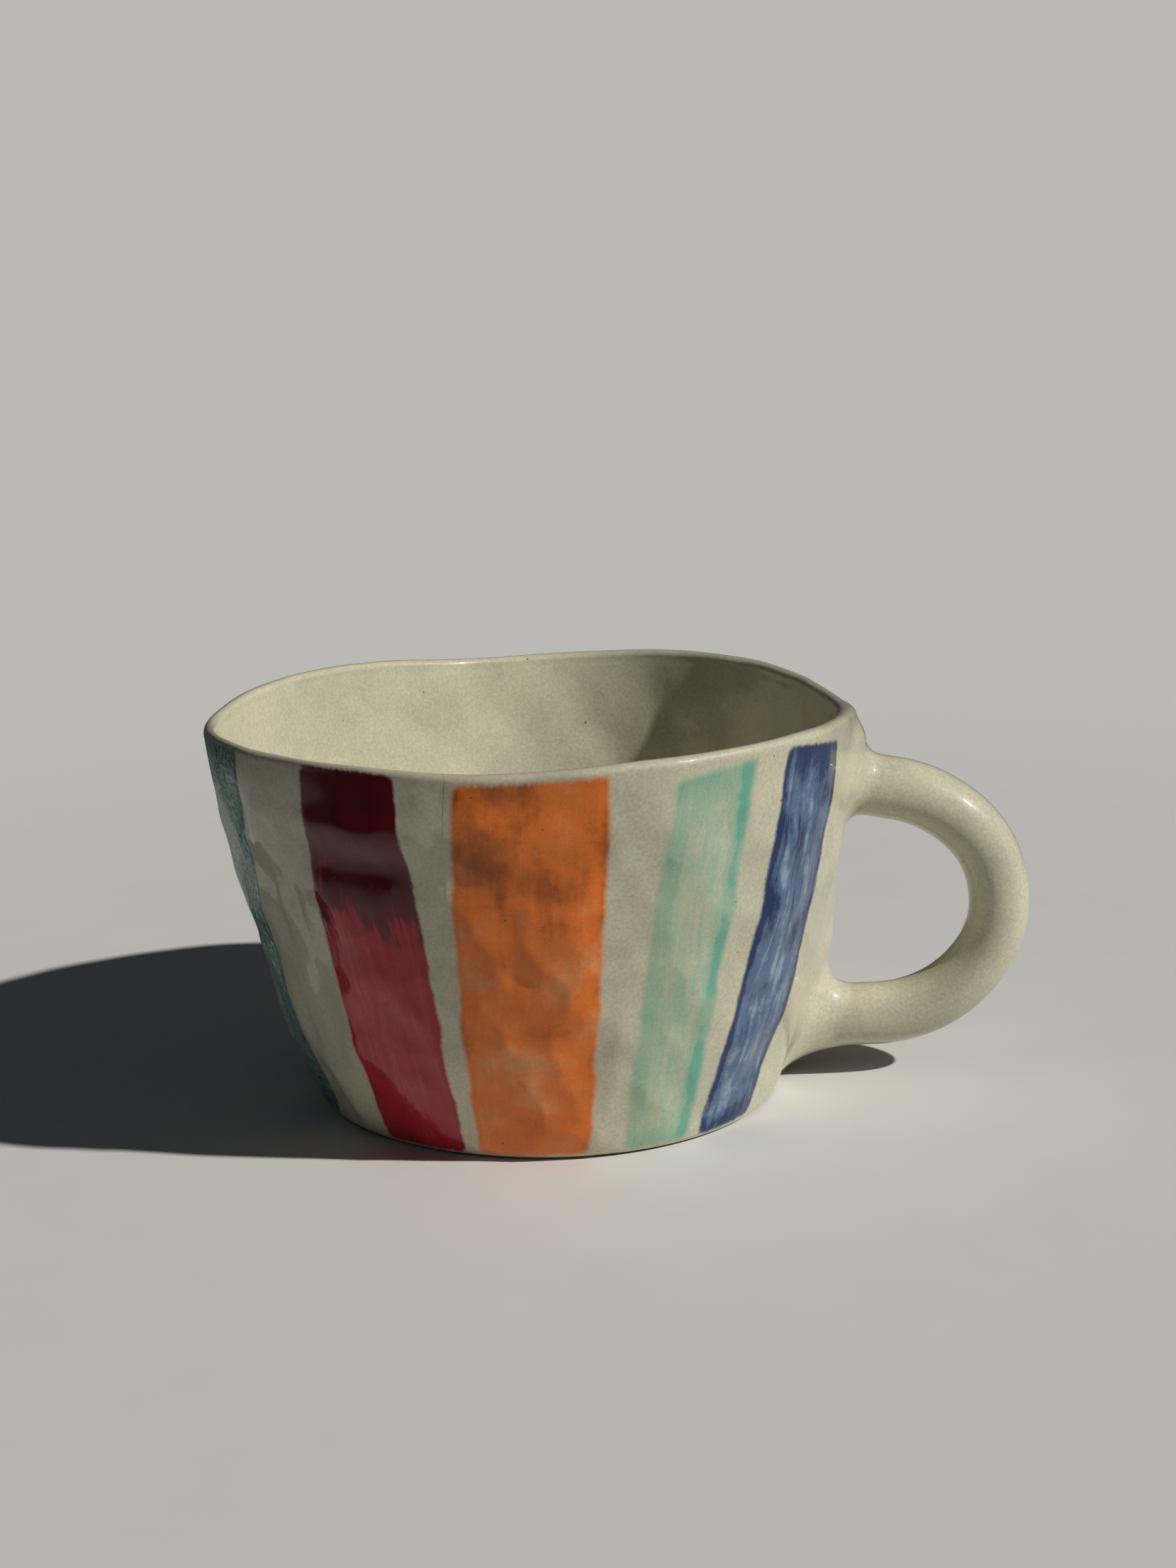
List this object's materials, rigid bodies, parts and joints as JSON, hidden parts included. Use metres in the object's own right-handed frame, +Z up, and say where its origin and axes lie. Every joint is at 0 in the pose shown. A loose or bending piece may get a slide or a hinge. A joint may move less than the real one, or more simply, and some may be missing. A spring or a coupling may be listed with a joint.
{
  "type": "ceramic mug",
  "caption": "Wide hand-built ceramic mug with an uneven rim, a round coil handle and brushed upright stripes of colour under clear glaze.",
  "frame": {"origin": "middle of the flat underside, at the level that the mug stands on", "axes": "+Z up out of the mouth, +X towards the handle, -Y towards the side that is seen with the handle on the right"},
  "size_m": [0.1393, 0.116, 0.0707],
  "materials": {
    "cream_glaze": "clear gloss glaze over cream stoneware",
    "crimson_underglaze": "brushed crimson under clear gloss glaze",
    "orange_underglaze": "brushed orange under clear gloss glaze",
    "mint_underglaze": "thin brushed mint green under clear gloss glaze",
    "cobalt_underglaze": "streaky brushed cobalt blue under clear gloss glaze",
    "teal_underglaze": "mottled brushed teal under clear gloss glaze"
  },
  "bodies": {
    "root": {"base_slab": "cream_glaze", "body_wall": "cream_glaze", "handle_coil": "cream_glaze", "handle_upper_joint": "cream_glaze", "handle_lower_joint": "cream_glaze", "stripe_crimson": "crimson_underglaze", "stripe_orange": "orange_underglaze", "stripe_mint": "mint_underglaze", "stripe_cobalt": "cobalt_underglaze", "stripe_teal": "teal_underglaze", "back_stripe_cobalt": "cobalt_underglaze", "back_stripe_mint": "mint_underglaze", "back_stripe_orange": "orange_underglaze", "back_stripe_crimson": "crimson_underglaze", "back_stripe_teal": "teal_underglaze"}
  },
  "joints": []
}
